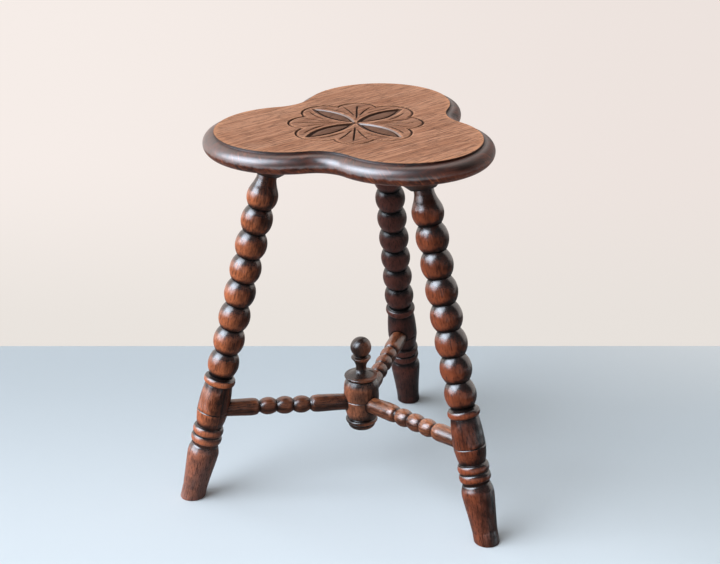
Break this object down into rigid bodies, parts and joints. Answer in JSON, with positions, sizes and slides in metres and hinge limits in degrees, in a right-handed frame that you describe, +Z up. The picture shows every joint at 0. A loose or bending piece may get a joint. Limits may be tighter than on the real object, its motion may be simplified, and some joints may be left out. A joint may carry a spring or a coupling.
{
  "type": "bobbin stool",
  "caption": "Low wooden stool: trefoil seat with moulded rim on splayed bobbin-turned legs, tied by bobbin stretchers that meet in a turned hub with finial.",
  "frame": {"origin": "on the floor, under the middle of the stool's outer box", "axes": "+Z up; +Y towards the rear leg; the front left leg lies towards -X and the front right leg towards +X"},
  "size_m": [0.3912, 0.3586, 0.45],
  "materials": {
    "seat_oak": "worn oiled oak top over a dark stained, waxed rim",
    "leg_oak": "dark stained, waxed turned oak, worn red-brown on the beads",
    "stretcher_oak": "stained, waxed turned oak, well worn",
    "hub_oak": "dark stained, waxed turned oak",
    "finial_oak": "near-black stained, waxed turned oak",
    "pad_oak": "dark stained, dull oak"
  },
  "bodies": {
    "root": {"seat": "seat_oak", "leg_rear": "leg_oak", "pad_rear": "pad_oak", "stretcher_rear": "stretcher_oak", "leg_front_left": "leg_oak", "pad_front_left": "pad_oak", "stretcher_front_left": "stretcher_oak", "leg_front_right": "leg_oak", "pad_front_right": "pad_oak", "stretcher_front_right": "stretcher_oak", "hub": "hub_oak", "finial": "finial_oak", "hub_drop": "finial_oak"}
  },
  "joints": []
}
